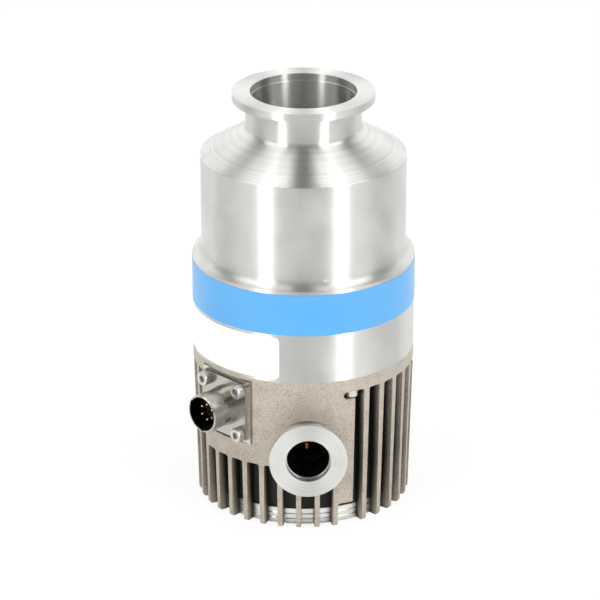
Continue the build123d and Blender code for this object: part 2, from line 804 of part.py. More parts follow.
spring_low = upper_bearing_z - spring_height
spring_bore = shaft_waist_radius + spring_bore_gap
spring_rim = bearing_outer_radius - spring_rim_gap
with BuildPart() as preload_spring:
    revolve(half_section(
        (spring_bore, spring_low), (spring_rim, upper_bearing_z - spring_thickness),
        (spring_rim, upper_bearing_z), (spring_bore, spring_low + spring_thickness)))
save(preload_spring.part, "preload_spring")


# ---- Motor: slotted core, windings and magnet sleeve ----

core_bore = magnet_radius + motor_gap
core_inner_back = core_radius - core_back
tooth_reach = core_inner_back + tooth_overlap - core_bore

with BuildPart() as motor_core:
    with BuildSketch(Plane.XY.offset(core_z)):
        Circle(core_radius)
        Circle(core_inner_back, mode=Mode.SUBTRACT)
        with PolarLocations(core_bore + tooth_reach / 2, core_teeth):
            Rectangle(tooth_reach, tooth_width)
        Circle(core_bore, mode=Mode.SUBTRACT)
    extrude(amount=core_length)
save(motor_core.part, "motor_core")

coil_outer = core_inner_back - winding_clearance
coil_inner = core_bore + coil_lift
with BuildPart() as windings:
    with BuildSketch(Plane.XY.offset(core_z - winding_clearance)) as coils:
        Circle(coil_outer)
        Circle(coil_inner, mode=Mode.SUBTRACT)
        with PolarLocations(core_bore + tooth_reach / 2, core_teeth):
            Rectangle(tooth_reach + coil_slot_excess, tooth_width + 2 * winding_clearance, mode=Mode.SUBTRACT)
    extrude(amount=core_length + 2 * winding_clearance)
    for low in (core_z - winding_clearance - winding_overhang, core_top + winding_clearance):
        revolve(ring_section(coil_inner, coil_outer, low, low + winding_overhang))
save(windings.part, "motor_windings")

with BuildPart() as magnet:
    revolve(ring_section(shaft_waist_radius, magnet_radius, core_z - magnet_overhang,
                         core_top + magnet_overhang))
save(magnet.part, "motor_magnet")


# ---- Exhaust port with its seal and the purge nozzle ----

port_neck_end = port_length - port_rim - (port_flange_radius - port_neck_radius) * taper
port_seal_z = -port_depth / 2
port_groove = port_spigot_radius - 2 * damper_radius
port_axis = Axis(port_plane.origin, port_plane.z_dir)
port_section_plane = Plane(origin=port_plane.origin, x_dir=(1, 0, 0), z_dir=(0, 0, 1))


def port_section(*points):
    """Closed face through (radius, distance beyond the seat) points of the exhaust port."""
    with BuildSketch(port_section_plane) as face:
        with BuildLine():
            Polyline(*[(radius, -distance) for radius, distance in points], close=True)
        make_face()
    return face.sketch


with BuildPart() as exhaust_port:
    revolve(port_section(
        (port_bore_radius, -port_depth), (port_spigot_radius, -port_depth),
        (port_spigot_radius, port_seal_z - damper_radius), (port_groove, port_seal_z - damper_radius),
        (port_groove, port_seal_z + damper_radius), (port_spigot_radius, port_seal_z + damper_radius),
        (port_spigot_radius, 0), (port_collar_radius, 0), (port_collar_radius, port_collar),
        (port_neck_radius, port_collar), (port_neck_radius, port_neck_end),
        (port_flange_radius, port_length - port_rim), (port_flange_radius, port_length),
        (port_recess_radius, port_length), (port_recess_radius, port_length - centring_depth),
        (port_bore_radius, port_length - centring_depth)), axis=port_axis)
save(exhaust_port.part, "exhaust_port")

with BuildPart() as exhaust_seal:
    with BuildSketch(port_section_plane):
        with Locations((port_spigot_radius - damper_radius, -port_seal_z)):
            Circle(damper_radius - fit_clearance)
    revolve(axis=port_axis)
save(exhaust_seal.part, "exhaust_seal")

with BuildPart() as purge_nozzle:
    with Locations((0, -nozzle_reach, nozzle_root - nozzle_drop)):
        Cylinder(nozzle_radius, nozzle_length, align=(Align.CENTER, Align.CENTER, Align.MIN))
        Cylinder(nozzle_radius / 2, nozzle_bore_depth, align=(Align.CENTER, Align.CENTER, Align.MIN),
                 mode=Mode.SUBTRACT)
save(purge_nozzle.part, "purge_nozzle")


# ---- Connector: gasket, shell with square flange, insert, pins and screws ----

gasket_front = gasket_thickness
flange_front = gasket_thickness + flange_thickness
shell_mouth = flange_front + shell_length
insert_face = shell_mouth - insert_depth
shell_bore = shell_radius - shell_wall
stud_z = shell_mouth - stud_setback

with BuildPart() as connector_gasket:
    with BuildSketch(connector_plane):
        Rectangle(gasket_size, gasket_size)
        Circle(shell_radius + screw_play, mode=Mode.SUBTRACT)
        with GridLocations(flange_pitch, flange_pitch, 2, 2):
            Circle(screw_radius + screw_play, mode=Mode.SUBTRACT)
    extrude(amount=gasket_thickness)
save(connector_gasket.part, "connector_gasket")

shell_axis = Axis(connector_plane.origin, connector_plane.z_dir)

with BuildPart() as connector_shell:
    with BuildSketch(connector_plane.offset(gasket_front)):
        RectangleRounded(flange_size, flange_size, flange_corner)
        with GridLocations(flange_pitch, flange_pitch, 2, 2):
            Circle(screw_radius + screw_play, mode=Mode.SUBTRACT)
    extrude(amount=flange_thickness)
    with BuildSketch(connector_plane.offset(-shell_tail)):
        Circle(shell_radius - tail_step)
    extrude(amount=shell_tail + gasket_front)
    with BuildSketch(connector_plane.offset(gasket_front)):
        Circle(shell_radius)
    extrude(amount=flange_thickness + shell_length)
    chamfer(connector_shell.faces().sort_by(shell_axis)[-1].edges(), edge_chamfer)
    with BuildSketch(connector_plane.offset(flange_front)):
        Circle(shell_radius + collar_step)
    extrude(amount=collar_length)
    with BuildSketch(connector_plane.offset(-shell_tail)):
        Circle(shell_bore)
    extrude(amount=shell_tail + shell_mouth, mode=Mode.SUBTRACT)
    # Three bayonet studs round the shell and three keyways in its bore
    for index in range(stud_count):
        turn = stud_start + 360 / stud_count * index
        stud_plane = Plane(connector_plane.location * Location((0, 0, stud_z), (0, 0, turn))).rotated((0, 90, 0))
        with BuildSketch(stud_plane.offset(shell_radius - stud_sink)):
            Circle(stud_radius)
        extrude(amount=stud_length)
    with BuildSketch(connector_plane.offset(shell_mouth)):
        with PolarLocations(shell_bore, keyway_count, keyway_start):
            Rectangle(keyway_depth, keyway_width)
    extrude(amount=-insert_depth, mode=Mode.SUBTRACT)
save(connector_shell.part, "connector_shell")

with BuildPart() as connector_insert:
    with BuildSketch(connector_plane.offset(-shell_tail)):
        Circle(shell_bore)
        with PolarLocations(pin_circle, pin_count, start_angle=90):
            Circle(pin_radius, mode=Mode.SUBTRACT)
    extrude(amount=shell_tail + insert_face)
save(connector_insert.part, "connector_insert")

with BuildPart() as connector_pins:
    with BuildSketch(connector_plane.offset(-shell_tail - pin_tail)):
        with PolarLocations(pin_circle, pin_count, start_angle=90):
            Circle(pin_radius)
    extrude(amount=shell_tail + pin_tail + shell_mouth - pin_recess)
    tips = connector_pins.faces().sort_by(shell_axis)[-pin_count:]
    chamfer(tips.edges(), edge_chamfer)
save(connector_pins.part, "connector_pins")

with BuildPart() as connector_screws:
    places = [(x, y) for x in (-1, 1) for y in (-1, 1)]
    with Locations(*[connector_plane.location
                     * Location((flange_pitch / 2 * x, flange_pitch / 2 * y, flange_front), (180, 0, 0))
                     for x, y in places]):
        add(cap_screw(flange_front + connector_screw_grip - connector_screw_end))
save(connector_screws.part, "connector_screws")
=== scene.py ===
"""Dresses the turbomolecular pump: finishes for its metal parts, its foils and its small fasteners."""
import json
import logging
import math
from collections.abc import Sequence
from dataclasses import dataclass, field
from enum import Enum

import bpy
from mathutils import Euler, Matrix, Vector

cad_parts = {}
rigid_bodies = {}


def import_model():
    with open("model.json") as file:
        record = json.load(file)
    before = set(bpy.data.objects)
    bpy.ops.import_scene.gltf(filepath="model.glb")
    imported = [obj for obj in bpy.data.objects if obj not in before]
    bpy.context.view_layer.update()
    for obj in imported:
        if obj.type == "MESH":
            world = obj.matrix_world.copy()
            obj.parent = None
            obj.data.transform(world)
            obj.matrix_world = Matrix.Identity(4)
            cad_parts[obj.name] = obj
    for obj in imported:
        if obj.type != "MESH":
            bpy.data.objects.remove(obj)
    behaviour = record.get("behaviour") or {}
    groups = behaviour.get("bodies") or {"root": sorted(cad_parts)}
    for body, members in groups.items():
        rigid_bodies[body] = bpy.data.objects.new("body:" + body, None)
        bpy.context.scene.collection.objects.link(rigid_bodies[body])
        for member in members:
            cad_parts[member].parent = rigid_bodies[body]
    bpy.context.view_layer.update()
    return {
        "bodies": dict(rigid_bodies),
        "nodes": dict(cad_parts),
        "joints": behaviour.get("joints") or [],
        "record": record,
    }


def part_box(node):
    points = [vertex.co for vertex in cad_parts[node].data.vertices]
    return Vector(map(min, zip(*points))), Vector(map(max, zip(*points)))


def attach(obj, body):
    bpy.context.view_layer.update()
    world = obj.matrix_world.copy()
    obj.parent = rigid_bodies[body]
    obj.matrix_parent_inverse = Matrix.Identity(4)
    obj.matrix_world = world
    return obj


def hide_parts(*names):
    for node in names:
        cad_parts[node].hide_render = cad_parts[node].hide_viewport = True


MM = 0.001
LOG = logging.getLogger("pump")
STUDIO_WHITE = (1.0, 1.0, 1.0, 1.0)
# Colour of the painted shade in bores, in the connector's mouth and at the fins' roots
PAINTED_SHADE = "#1B1D1C"
COAT_ROUGHNESS = 0.12
ROUGHNESS_SWING = 0.05  # Either side of a finish's roughness
PATTERN_SPREAD = 0.25  # Noise this far from its middle gives the full change of colour or roughness
CROSS_GRAIN = 0.25  # In whole turns: draws highlights out across the lathe marks
RING_SLANT = 0.83  # Height that counts as one step of radius, so walls and faces both get rings
POLISH_FADE_MM = 3.0
LIT_FOOT_SHIFT_MM = 1.8  # How much deeper the painted light reaches at the foot of the fins, lifting their painted shade
Point = tuple[float, float, float]
Ring = list[Point]


# ---- Places on the pump ----

def azimuth_matrix(azimuth: float, reach: float, height: float) -> Matrix:
    """Frame of a place on the pump's side, with local Z pointing outwards and local Y up.

    Args:
        azimuth: Angle about the axis in degrees, from the exhaust side towards +X.
        reach: Distance from the axis in metres.
        height: Height above the base face in metres.

    Returns:
        The matrix that takes local places to the pump's frame.
    """
    angle = math.radians(azimuth)
    outward = Vector((math.sin(angle), -math.cos(angle), 0))
    tangent = Vector((math.cos(angle), math.sin(angle), 0))
    frame = Matrix((tangent, Vector((0, 0, 1)), outward)).transposed().to_4x4()
    frame.translation = outward * reach + Vector((0, 0, height))
    return frame


@dataclass(frozen=True)
class Spindle:
    """Axis that a piece was turned about: a point on it and the turn that brings it to local Z."""

    centre: Point = (0.0, 0.0, 0.0)
    turn: Point = (0.0, 0.0, 0.0)


def level_spindle(azimuth: float, height: float) -> Spindle:
    """Spindle of a piece turned about a level axis through the pump's own axis.

    Args:
        azimuth: Where the piece's axis points, in degrees.
        height: Its height above the base face in mm.

    Returns:
        The spindle.
    """
    turn = Matrix.Rotation(math.radians(90), 3, "X") @ Matrix.Rotation(-math.radians(azimuth), 3, "Z")
    return Spindle((0.0, 0.0, height * MM), tuple(turn.to_euler("XYZ")))


# ---- Materials ----

class Process(Enum):
    """How a surface was made, which decides its pattern."""

    TURNED = "turned"
    PLAIN = "plain"


@dataclass(frozen=True)
class Finish:
    """One finish of the pump, with typical optical values of its real material."""

    name: str
    colour: str
    shade: str
    roughness: float
    metallic: float = 1.0
    process: Process = Process.PLAIN
    grain_mm: float = 0.4
    relief_mm: float = 0.01
    patch_mm: float = 12.0
    anisotropy: float = 0.0
    coat: float = 0.0
    contrast: float = 1.0
    polish_mm: float = 0.0
    polish: float = 0.0
    # Painted shade: darkens the colour inside this radius about the spindle, fading over bore_fade_mm;
    # lit_foot_mm paints light towards the foot
    bore_mm: float = 0.0
    bore_fade_mm: float = 0.4
    lit_foot_mm: float = 0.0
    spindle: Spindle = field(default_factory=Spindle)


def linear(code: str) -> tuple[float, float, float, float]:
    """Turn an sRGB hex colour into linear RGBA."""
    parts = [int(code[i:i + 2], 16) / 255 for i in (1, 3, 5)]
    values = [c / 12.92 if c <= 0.04045 else ((c + 0.055) / 1.055) ** 2.4 for c in parts]
    return (values[0], values[1], values[2], 1.0)


def add_node(tree: bpy.types.NodeTree, kind: str, links: dict[str | int, bpy.types.NodeSocket] | None = None,
             inputs: dict[str | int, object] | None = None, **settings: object) -> bpy.types.Node:
    """Add one node with its settings, socket values and incoming links.

    Args:
        tree: The node tree that gets the node.
        kind: The node's type name.
        links: Input socket to the output socket that feeds it.
        inputs: Input socket to its value.
        settings: Properties of the node.

    Returns:
        The new node.
    """
    node = tree.nodes.new(kind)
    for key, value in settings.items():
        setattr(node, key, value)
    for socket, value in (inputs or {}).items():
        node.inputs[socket].default_value = value
    for socket, source in (links or {}).items():
        tree.links.new(source, node.inputs[socket])
    return node


class Painter:
    """Builds each finish as a node material, once."""

    def __init__(self) -> None:
        """Start with no materials made."""
        self.made: dict[str, bpy.types.Material] = {}

    def material(self, finish: Finish) -> bpy.types.Material:
        """Give the material of a finish, built on first use."""
        if finish.name not in self.made:
            self.made[finish.name] = self.build(finish)
        return self.made[finish.name]

    def build(self, finish: Finish) -> bpy.types.Material:
        """Build the node tree of one finish.

        Args:
            finish: The finish to build.

        Returns:
            The material.
        """
        material = bpy.data.materials.new(finish.name)
        material.use_nodes = True
        tree = material.node_tree
        tree.nodes.clear()
        shader = add_node(tree, "ShaderNodeBsdfPrincipled", inputs={
            "Metallic": finish.metallic, "Anisotropic": finish.anisotropy, "Coat Weight": finish.coat,
            "Coat Roughness": COAT_ROUGHNESS})
        place = self.placed(tree, finish)
        grain = self.grain(tree, finish, place)
        patch = add_node(tree, "ShaderNodeTexNoise", {"Vector": place.outputs[0]},
                         {"Scale": 1000 / finish.patch_mm, "Detail": 3.0})
        spread = PATTERN_SPREAD / finish.contrast
        sharp = add_node(tree, "ShaderNodeMapRange", {0: grain}, {1: 0.5 - spread, 2: 0.5 + spread})
        blend = add_node(tree, "ShaderNodeMath", {0: patch.outputs[0], 1: sharp.outputs[0]},
                         operation="MULTIPLY")
        colour = add_node(tree, "ShaderNodeMix", {0: blend.outputs[0]},
                          {6: linear(finish.colour), 7: linear(finish.shade)}, data_type="RGBA").outputs[2]
        # Painted shade in bores and at the fins' roots
        colour = self.painted_shade(tree, finish, place, colour)
        rough = add_node(tree, "ShaderNodeMapRange", {0: patch.outputs[0]},
                         {1: 0.5 - PATTERN_SPREAD, 2: 0.5 + PATTERN_SPREAD,
                          3: finish.roughness - ROUGHNESS_SWING, 4: finish.roughness + ROUGHNESS_SWING})
        rough = self.polished(tree, finish, place, rough)
        bump = add_node(tree, "ShaderNodeBump", {"Height": grain},
                        {"Strength": 1.0, "Distance": finish.relief_mm * MM})
        tree.links.new(colour, shader.inputs["Base Color"])
        tree.links.new(rough.outputs[0], shader.inputs["Roughness"])
        tree.links.new(bump.outputs[0], shader.inputs["Normal"])
        if finish.anisotropy:
            shader.inputs["Anisotropic Rotation"].default_value = CROSS_GRAIN
            tangent = add_node(tree, "ShaderNodeTangent", direction_type="RADIAL",
                               axis=self.tangent_axis(finish))
            tree.links.new(tangent.outputs[0], shader.inputs["Tangent"])
        out = add_node(tree, "ShaderNodeOutputMaterial", {0: shader.outputs[0]})
        out.is_active_output = True
        return material

    @staticmethod
    def tangent_axis(finish: Finish) -> str:
        """Axis of the lathe marks: Z, or Y for a piece turned about a level axis."""
        return "Y" if finish.spindle.turn[0] else "Z"

    @staticmethod
    def placed(tree: bpy.types.NodeTree, finish: Finish) -> bpy.types.Node:
        """Object coordinates, moved and turned so that local Z is the spindle."""
        coords = add_node(tree, "ShaderNodeTexCoord")
        centred = add_node(tree, "ShaderNodeMapping", {0: coords.outputs["Object"]},
                           {"Location": tuple(-c for c in finish.spindle.centre)})
        return add_node(tree, "ShaderNodeMapping", {0: centred.outputs[0]}, {"Rotation": finish.spindle.turn})

    @staticmethod
    def radius(tree: bpy.types.NodeTree, place: bpy.types.Node) -> bpy.types.NodeSocket:
        """Distance from the spindle."""
        level = add_node(tree, "ShaderNodeVectorMath", {0: place.outputs[0]}, {1: (1.0, 1.0, 0.0)},
                         operation="MULTIPLY")
        length = add_node(tree, "ShaderNodeVectorMath", {0: level.outputs[0]}, operation="LENGTH")
        return length.outputs["Value"]

    def grain(self, tree: bpy.types.NodeTree, finish: Finish, place: bpy.types.Node) -> bpy.types.NodeSocket:
        """Fine pattern of the surface: lathe rings on turned metal, else grit.

        Args:
            tree: The material's tree.
            finish: The finish being built.
            place: The node that gives the place on the surface.

        Returns:
            The pattern, for the colour and for the relief.
        """
        scale = 1000 / finish.grain_mm
        if finish.process is Process.TURNED:
            apart = add_node(tree, "ShaderNodeSeparateXYZ", {0: place.outputs[0]})
            along = add_node(tree, "ShaderNodeMath", {0: self.radius(tree, place), 2: apart.outputs[2]},
                             {1: RING_SLANT}, operation="MULTIPLY_ADD")
            return add_node(tree, "ShaderNodeTexNoise", {"W": along.outputs[0]},
                            {"Scale": scale, "Detail": 2.0}, noise_dimensions="1D").outputs[0]
        return add_node(tree, "ShaderNodeTexNoise", {"Vector": place.outputs[0]},
                        {"Scale": scale, "Detail": 4.0, "Roughness": 0.65}).outputs[0]

    def polished(self, tree: bpy.types.NodeTree, finish: Finish, place: bpy.types.Node,
                 rough: bpy.types.Node) -> bpy.types.Node:
        """Make the metal smoother inside a radius, where it was polished for sealing."""
        if not finish.polish_mm:
            return rough
        inner, outer = finish.polish_mm * MM, (finish.polish_mm + POLISH_FADE_MM) * MM
        share = add_node(tree, "ShaderNodeMapRange", {0: self.radius(tree, place)},
                         {1: inner, 2: outer, 3: 0.0, 4: 1.0})
        return add_node(tree, "ShaderNodeMapRange", {0: share.outputs[0], 4: rough.outputs[0]},
                        {3: finish.polish})

    def painted_shade(self, tree: bpy.types.NodeTree, finish: Finish, place: bpy.types.Node,
                 colour: bpy.types.NodeSocket) -> bpy.types.NodeSocket:
        """Darken the colour with painted shade inside a bore, or at the root of the fins."""
        if not finish.bore_mm:
            return colour
        edge, fade = finish.bore_mm * MM, finish.bore_fade_mm * MM
        reach = self.radius(tree, place)
        # Painted light towards the foot of the fins: near the base the painted shade reaches less deep
        if finish.lit_foot_mm:
            apart = add_node(tree, "ShaderNodeSeparateXYZ", {0: place.outputs[0]})
            shift = add_node(tree, "ShaderNodeMapRange", {0: apart.outputs[2]},
                             {1: 0.0, 2: finish.lit_foot_mm * MM, 3: LIT_FOOT_SHIFT_MM * MM, 4: 0.0})
            reach = add_node(tree, "ShaderNodeMath", {0: reach, 1: shift.outputs[0]}).outputs[0]
        # Painted shade: the shade colour inside the edge radius, fading to the surface's own colour outward
        light = add_node(tree, "ShaderNodeMapRange", {0: reach},
                         {1: edge, 2: edge + fade, 3: 0.0, 4: 1.0}, interpolation_type="SMOOTHSTEP")
        return add_node(tree, "ShaderNodeMix", {0: light.outputs[0], 7: colour},
                        {6: linear(PAINTED_SHADE)}, data_type="RGBA").outputs[2]


CONNECTOR_AZIMUTH = -47.0
CONNECTOR_HEIGHT = 47.6
PORT_HEIGHT = 34.5
PORT = level_spindle(0.0, PORT_HEIGHT)
CONNECTOR = level_spindle(CONNECTOR_AZIMUTH, CONNECTOR_HEIGHT)
FLANGE_SCREW_REACH = 43.7
FLANGE_SCREW_PITCH = 18.26
FLANGE_SCREW_COUNT = 4

# Turned and polished aluminium: bright, with fine rings that draw reflections out along the axis
TURNED_ALUMINIUM = Finish("turned_aluminium", "#D0D0CD", "#B2B2AF", 0.4, process=Process.TURNED,
                          grain_mm=0.35, relief_mm=0.003, anisotropy=0.95, polish_mm=24.0, polish=0.36)
# The same metal on the bottom cover, seen between the fins
COVER_ALUMINIUM = Finish("turned_cover_aluminium", "#E8E8E5", "#C9C9C5", 0.34, process=Process.TURNED,
                         grain_mm=0.6, relief_mm=0.006)
# Turned port, with painted shade inside its bore
PORT_ALUMINIUM = Finish("turned_port_aluminium", "#C8C8C4", "#A8A8A4", 0.34, process=Process.TURNED,
                        grain_mm=0.4, relief_mm=0.002, anisotropy=0.85, bore_mm=8.05, spindle=PORT)
# Sand-cast aluminium, bead blasted: warm matt grey with visible grit, with painted shade at the fins' roots
# and painted light towards their foot
CAST_ALUMINIUM = Finish("cast_aluminium", "#B6ADA0", "#6F675E", 0.55, metallic=0.45, grain_mm=0.6,
                        relief_mm=0.13, patch_mm=6.0, contrast=1.9, bore_mm=39.4, bore_fade_mm=3.7,
                        lit_foot_mm=24.0)
# Milled rotor alloy
ROTOR_ALUMINIUM = Finish("milled_rotor_aluminium", "#C4C6C8", "#8F9193", 0.32, process=Process.TURNED,
                         grain_mm=0.5, relief_mm=0.004)
# Stamped stator sheet
STATOR_ALUMINIUM = Finish("stamped_stator_aluminium", "#B9BBBD", "#8B8D8F", 0.38)
# Ground bearing and shaft steel
GROUND_STEEL = Finish("ground_steel", "#A9AAAC", "#8A8B8D", 0.25)
# Stainless steel of the fasteners
STAINLESS = Finish("stainless_steel", "#C6C5C1", "#9C9B97", 0.3, grain_mm=0.3, relief_mm=0.003)
# Satin nickel plating on the connector
NICKEL = Finish("satin_nickel_plating", "#C9C5BC", "#9C9890", 0.28, grain_mm=0.25, relief_mm=0.004)
# The same plating on the connector's shell, with painted shade inside its mouth, dark like its insert
SHELL_NICKEL = Finish("satin_nickel_shell", "#B3B0A9", "#85827B", 0.26, grain_mm=0.25, relief_mm=0.004,
                      bore_mm=6.7, bore_fade_mm=0.2, spindle=CONNECTOR)
# Gold plating on the contact pins
GOLD = Finish("gold_plating", "#E2B659", "#B98A33", 0.22)
# Brass of the purge nozzle
BRASS = Finish("turned_brass", "#C79A4B", "#8E6A2C", 0.3)
# Dark moulded insert and cage
MOULDED = Finish("moulded_dark_plastic", "#0E1614", "#070B0A", 0.55, metallic=0.0, grain_mm=0.3)
PHENOLIC = Finish("machined_phenolic", "#8A5C32", "#5F3D20", 0.5, metallic=0.0)
RUBBER = Finish("moulded_seal_rubber", "#1C1C1B", "#101010", 0.6, metallic=0.0)
COPPER = Finish("enamelled_copper", "#A95A2E", "#7A3C1D", 0.35)
# Printed film of the band, and blank white film
BLUE_FILM = Finish("blue_printed_film", "#3A8CC6", "#5FA3D4", 0.4, metallic=0.0, grain_mm=0.5,
                   relief_mm=0.002, patch_mm=18.0, coat=0.15)
WHITE_FILM = Finish("white_film", "#F4F4F2", "#E6E6E3", 0.38, metallic=0.0, grain_mm=0.5, relief_mm=0.002,
                    patch_mm=20.0, coat=0.2)


# ---- Meshes from rings, and repeats by Geometry Nodes ----

def circle_ring(radius: float, height: float, count: int) -> Ring:
    """Points of a level circle about local Z."""
    return [(radius * math.cos(2 * math.pi * i / count), radius * math.sin(2 * math.pi * i / count), height)
            for i in range(count)]


def hexagon_ring(across: float, height: float, count: int) -> Ring:
    """Points along a level hexagon about local Z, as many as a circle has."""
    points = []
    for i in range(count):
        angle = 2 * math.pi * i / count
        within = (angle + math.pi / 6) % (math.pi / 3) - math.pi / 6
        reach = across / 2 / math.cos(within)
        points.append((reach * math.cos(angle), reach * math.sin(angle), height))
    return points


def skin(name: str, rings: Sequence[Ring]) -> bpy.types.Mesh:
    """Closed mesh through rings of equal length, in order from one end to the other.

    Args:
        name: The mesh's name.
        rings: The rings, each with as many points.

    Returns:
        The mesh, capped at both ends.
    """
    count = len(rings[0])
    points = [point for ring in rings for point in ring]
    faces: list[tuple[int, ...]] = [tuple(reversed(range(count)))]
    for level in range(len(rings) - 1):
        low, high = level * count, (level + 1) * count
        for i in range(count):
            j = (i + 1) % count
            faces.append((low + i, low + j, high + j, high + i))
    faces.append(tuple(range((len(rings) - 1) * count, len(rings) * count)))
    mesh = bpy.data.meshes.new(name)
    mesh.from_pydata(points, [], faces)
    mesh.validate()
    return mesh


def new_object(name: str, mesh: bpy.types.Mesh) -> bpy.types.Object:
    """Object at the origin that shows a mesh."""
    item = bpy.data.objects.new(name, mesh)
    bpy.context.scene.collection.objects.link(item)
    return item


def smooth_by_angle(mesh: bpy.types.Mesh, degrees: float) -> None:
    """Shade a mesh smooth, but keep edges sharper than an angle."""
    mesh.shade_smooth()
    mesh.set_sharp_from_angle(angle=math.radians(degrees))


def ring_tree(name: str, material: bpy.types.Material) -> bpy.types.NodeTree:
    """Geometry Nodes that repeat a mesh on a circle about local Z.

    Args:
        name: The tree's name.
        material: The material that the copies get.

    Returns:
        A tree with inputs Count, Radius, Start and Step, angles in radians.
    """
    tree = bpy.data.node_groups.new(name, "GeometryNodeTree")
    tree.interface.new_socket("Geometry", in_out="INPUT", socket_type="NodeSocketGeometry")
    tree.interface.new_socket("Count", in_out="INPUT", socket_type="NodeSocketInt")
    for label in ("Radius", "Start", "Step"):
        tree.interface.new_socket(label, in_out="INPUT", socket_type="NodeSocketFloat")
    tree.interface.new_socket("Geometry", in_out="OUTPUT", socket_type="NodeSocketGeometry")
    given = add_node(tree, "NodeGroupInput")
    index = add_node(tree, "GeometryNodeInputIndex")
    angle = add_node(tree, "ShaderNodeMath", {0: index.outputs[0], 1: given.outputs["Step"],
                                              2: given.outputs["Start"]}, operation="MULTIPLY_ADD")
    turn = add_node(tree, "ShaderNodeCombineXYZ", {2: angle.outputs[0]})
    reach = add_node(tree, "ShaderNodeCombineXYZ", {0: given.outputs["Radius"]})
    place = add_node(tree, "ShaderNodeVectorRotate", {0: reach.outputs[0], "Angle": angle.outputs[0]},
                     rotation_type="Z_AXIS")
    points = add_node(tree, "GeometryNodePoints", {"Count": given.outputs["Count"],
                                                   "Position": place.outputs[0]})
    copies = add_node(tree, "GeometryNodeInstanceOnPoints", {
        "Points": points.outputs[0], "Instance": given.outputs["Geometry"], "Rotation": turn.outputs[0]})
    real = add_node(tree, "GeometryNodeRealizeInstances", {0: copies.outputs[0]})
    dressed = add_node(tree, "GeometryNodeSetMaterial", {0: real.outputs[0]}, {"Material": material})
    add_node(tree, "NodeGroupOutput", {0: dressed.outputs[0]})
    return tree


def repeat_on_circle(name: str, mesh: bpy.types.Mesh, material: bpy.types.Material, count: int,
                     radius: float, start: float, step: float) -> bpy.types.Mesh:
    """Repeat a mesh on a circle about local Z.

    Args:
        name: Name of the result.
        mesh: The mesh that repeats.
        material: The material that the copies get.
        count: How many copies.
        radius: Distance of the copies from local Z, in metres.
        start: Angle of the first copy in degrees.
        step: Angle from one copy to the next in degrees.

    Returns:
        A plain mesh that holds every copy.
    """
    carrier = new_object(name, mesh)
    tree = ring_tree(name + "_nodes", material)
    modifier = carrier.modifiers.new("repeat", "NODES")
    modifier.node_group = tree
    values = {"Count": count, "Radius": radius, "Start": math.radians(start), "Step": math.radians(step)}
    for item in tree.interface.items_tree:
        if item.in_out == "INPUT" and item.name in values:
            modifier[item.identifier] = values[item.name]
    graph = bpy.context.evaluated_depsgraph_get()
    result = bpy.data.meshes.new_from_object(carrier.evaluated_get(graph))
    carrier.modifiers.remove(modifier)
    bpy.data.objects.remove(carrier)
    bpy.data.node_groups.remove(tree)
    return result


# ---- The pump's sub-assemblies ----

@dataclass(frozen=True)
class Foil:
    """One printed foil: its heights in mm, its ends as azimuths and its corner radius in mm."""

    name: str
    finish: Finish
    low: float
    high: float
    start: float = -180.0
    end: float = 180.0
    corner: float = 0.0

    @property
    def closed(self) -> bool:
        """Whether the foil goes all the way round."""
        return self.end - self.start >= 360.0

    def inset(self, from_end: float) -> float:
        """How much the rounded corner takes off each edge at a distance from the foil's end."""
        if from_end >= self.corner:
            return 0.0
        return self.corner - math.sqrt(max(self.corner ** 2 - (self.corner - from_end) ** 2, 0.0))


@dataclass
class FoilBand:
    """Printed foils on the casing's wide ring: the blue band and the blank label."""

    painter: Painter
    foils: tuple[Foil, ...] = (Foil("blue_band", BLUE_FILM, 82.0, 98.6),
                               Foil("blank_label", WHITE_FILM, 63.6, 80.6, -172.0, -14.5, 1.2))
    glue: float = 0.01
    thickness: float = 0.12
    steps_per_turn: int = 240

    def build(self) -> list[bpy.types.Object]:
        """Make the foils and put them on the pump."""
        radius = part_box("base_housing")[1][0] / MM
        return [self.wrapped(foil, radius) for foil in self.foils]

    def wrapped(self, shape: Foil, radius: float) -> bpy.types.Object:
        """One foil wrapped round the ring.

        Args:
            shape: The foil's place and outline.
            radius: The ring's radius in mm.

        Returns:
            The foil, on the pump's fixed body.
        """
        span = shape.end - shape.start
        steps = max(2, round(span / 360.0 * self.steps_per_turn))
        arc = math.radians(span) * radius
        rings: list[Ring] = []
        for index in range(steps if shape.closed else steps + 1):
            along = arc * index / steps
            inset = shape.inset(min(along, arc - along))
            angle = math.radians(shape.start) + along / radius
            rings.append(self.cross_section(radius, angle, shape.low + inset, shape.high - inset))
        mesh = self.joined(shape.name, rings, shape.closed)
        mesh.materials.append(self.painter.material(shape.finish))
        smooth_by_angle(mesh, 35)
        foil = new_object(shape.name, mesh)
        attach(foil, "pump")
        return foil

    def cross_section(self, radius: float, angle: float, low: float, high: float) -> Ring:
        """Four corners of the foil's section at one azimuth, in metres."""
        inner, outer = radius + self.glue, radius + self.thickness
        places = [(inner, low), (outer, low), (outer, high), (inner, high)]
        return [(r * math.sin(angle) * MM, -r * math.cos(angle) * MM, z * MM) for r, z in places]

    @staticmethod
    def joined(name: str, rings: list[Ring], closed: bool) -> bpy.types.Mesh:
        """Mesh through the sections, closed on itself or capped at its ends."""
        points = [point for ring in rings for point in ring]
        faces: list[tuple[int, ...]] = []
        corners = len(rings[0])
        last = len(rings) if closed else len(rings) - 1
        for level in range(last):
            low, high = level * corners, (level + 1) % len(rings) * corners
            for i in range(corners):
                j = (i + 1) % corners
                faces.append((low + i, high + i, high + j, low + j))
        if not closed:
            end = (len(rings) - 1) * corners
            faces.append(tuple(range(corners)))
            faces.append(tuple(reversed(range(end, end + corners))))
        mesh = bpy.data.meshes.new(name)
        mesh.from_pydata(points, [], faces)
        mesh.validate()
        return mesh


